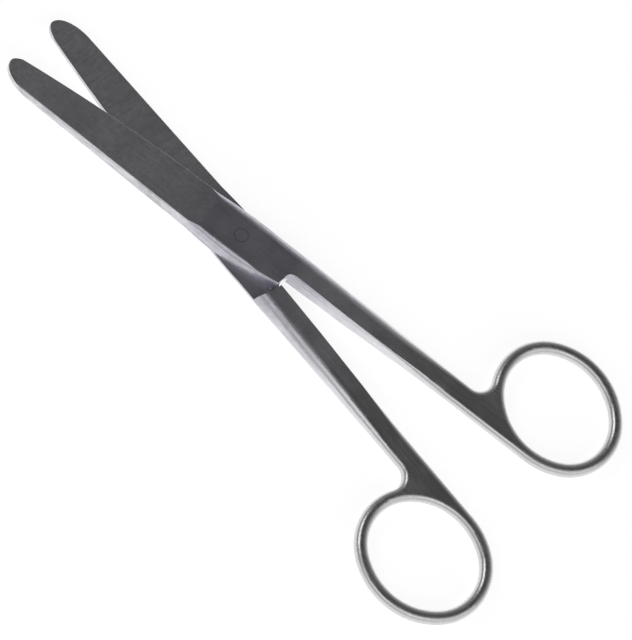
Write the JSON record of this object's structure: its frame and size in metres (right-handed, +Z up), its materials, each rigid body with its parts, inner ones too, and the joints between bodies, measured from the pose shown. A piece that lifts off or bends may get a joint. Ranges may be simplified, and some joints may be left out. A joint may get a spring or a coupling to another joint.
{
  "type": "surgical scissors",
  "caption": "Straight blunt-tipped operating scissors in satin stainless steel, slim shanks, oval finger rings and a flush pivot screw.",
  "frame": {"origin": "pivot axis where it meets the plane of the lower half's underside, on which the scissors rest", "axes": "+X along the middle of the open pair from the tips towards the finger rings, +Y towards the upper half's ring, +Z up along the pivot screw, out of the face that carries the upper half"},
  "size_m": [0.1437, 0.0704, 0.006],
  "materials": {
    "forged_steel": "satin ground and bead-glazed stainless steel, hollow-ground inner faces",
    "screw_steel": "turned stainless steel, flush ground end"
  },
  "bodies": {
    "lower_half": {"lower_half": "forged_steel"},
    "upper_half": {"upper_half": "forged_steel", "pivot_screw": "screw_steel"}
  },
  "joints": [
    {"name": "pivot", "type": "hinge", "parent": "lower_half", "child": "upper_half", "pos_m": [0, 0, 0.00301], "axis": [0, 0, 1], "range_deg": [-13, 115]}
  ]
}
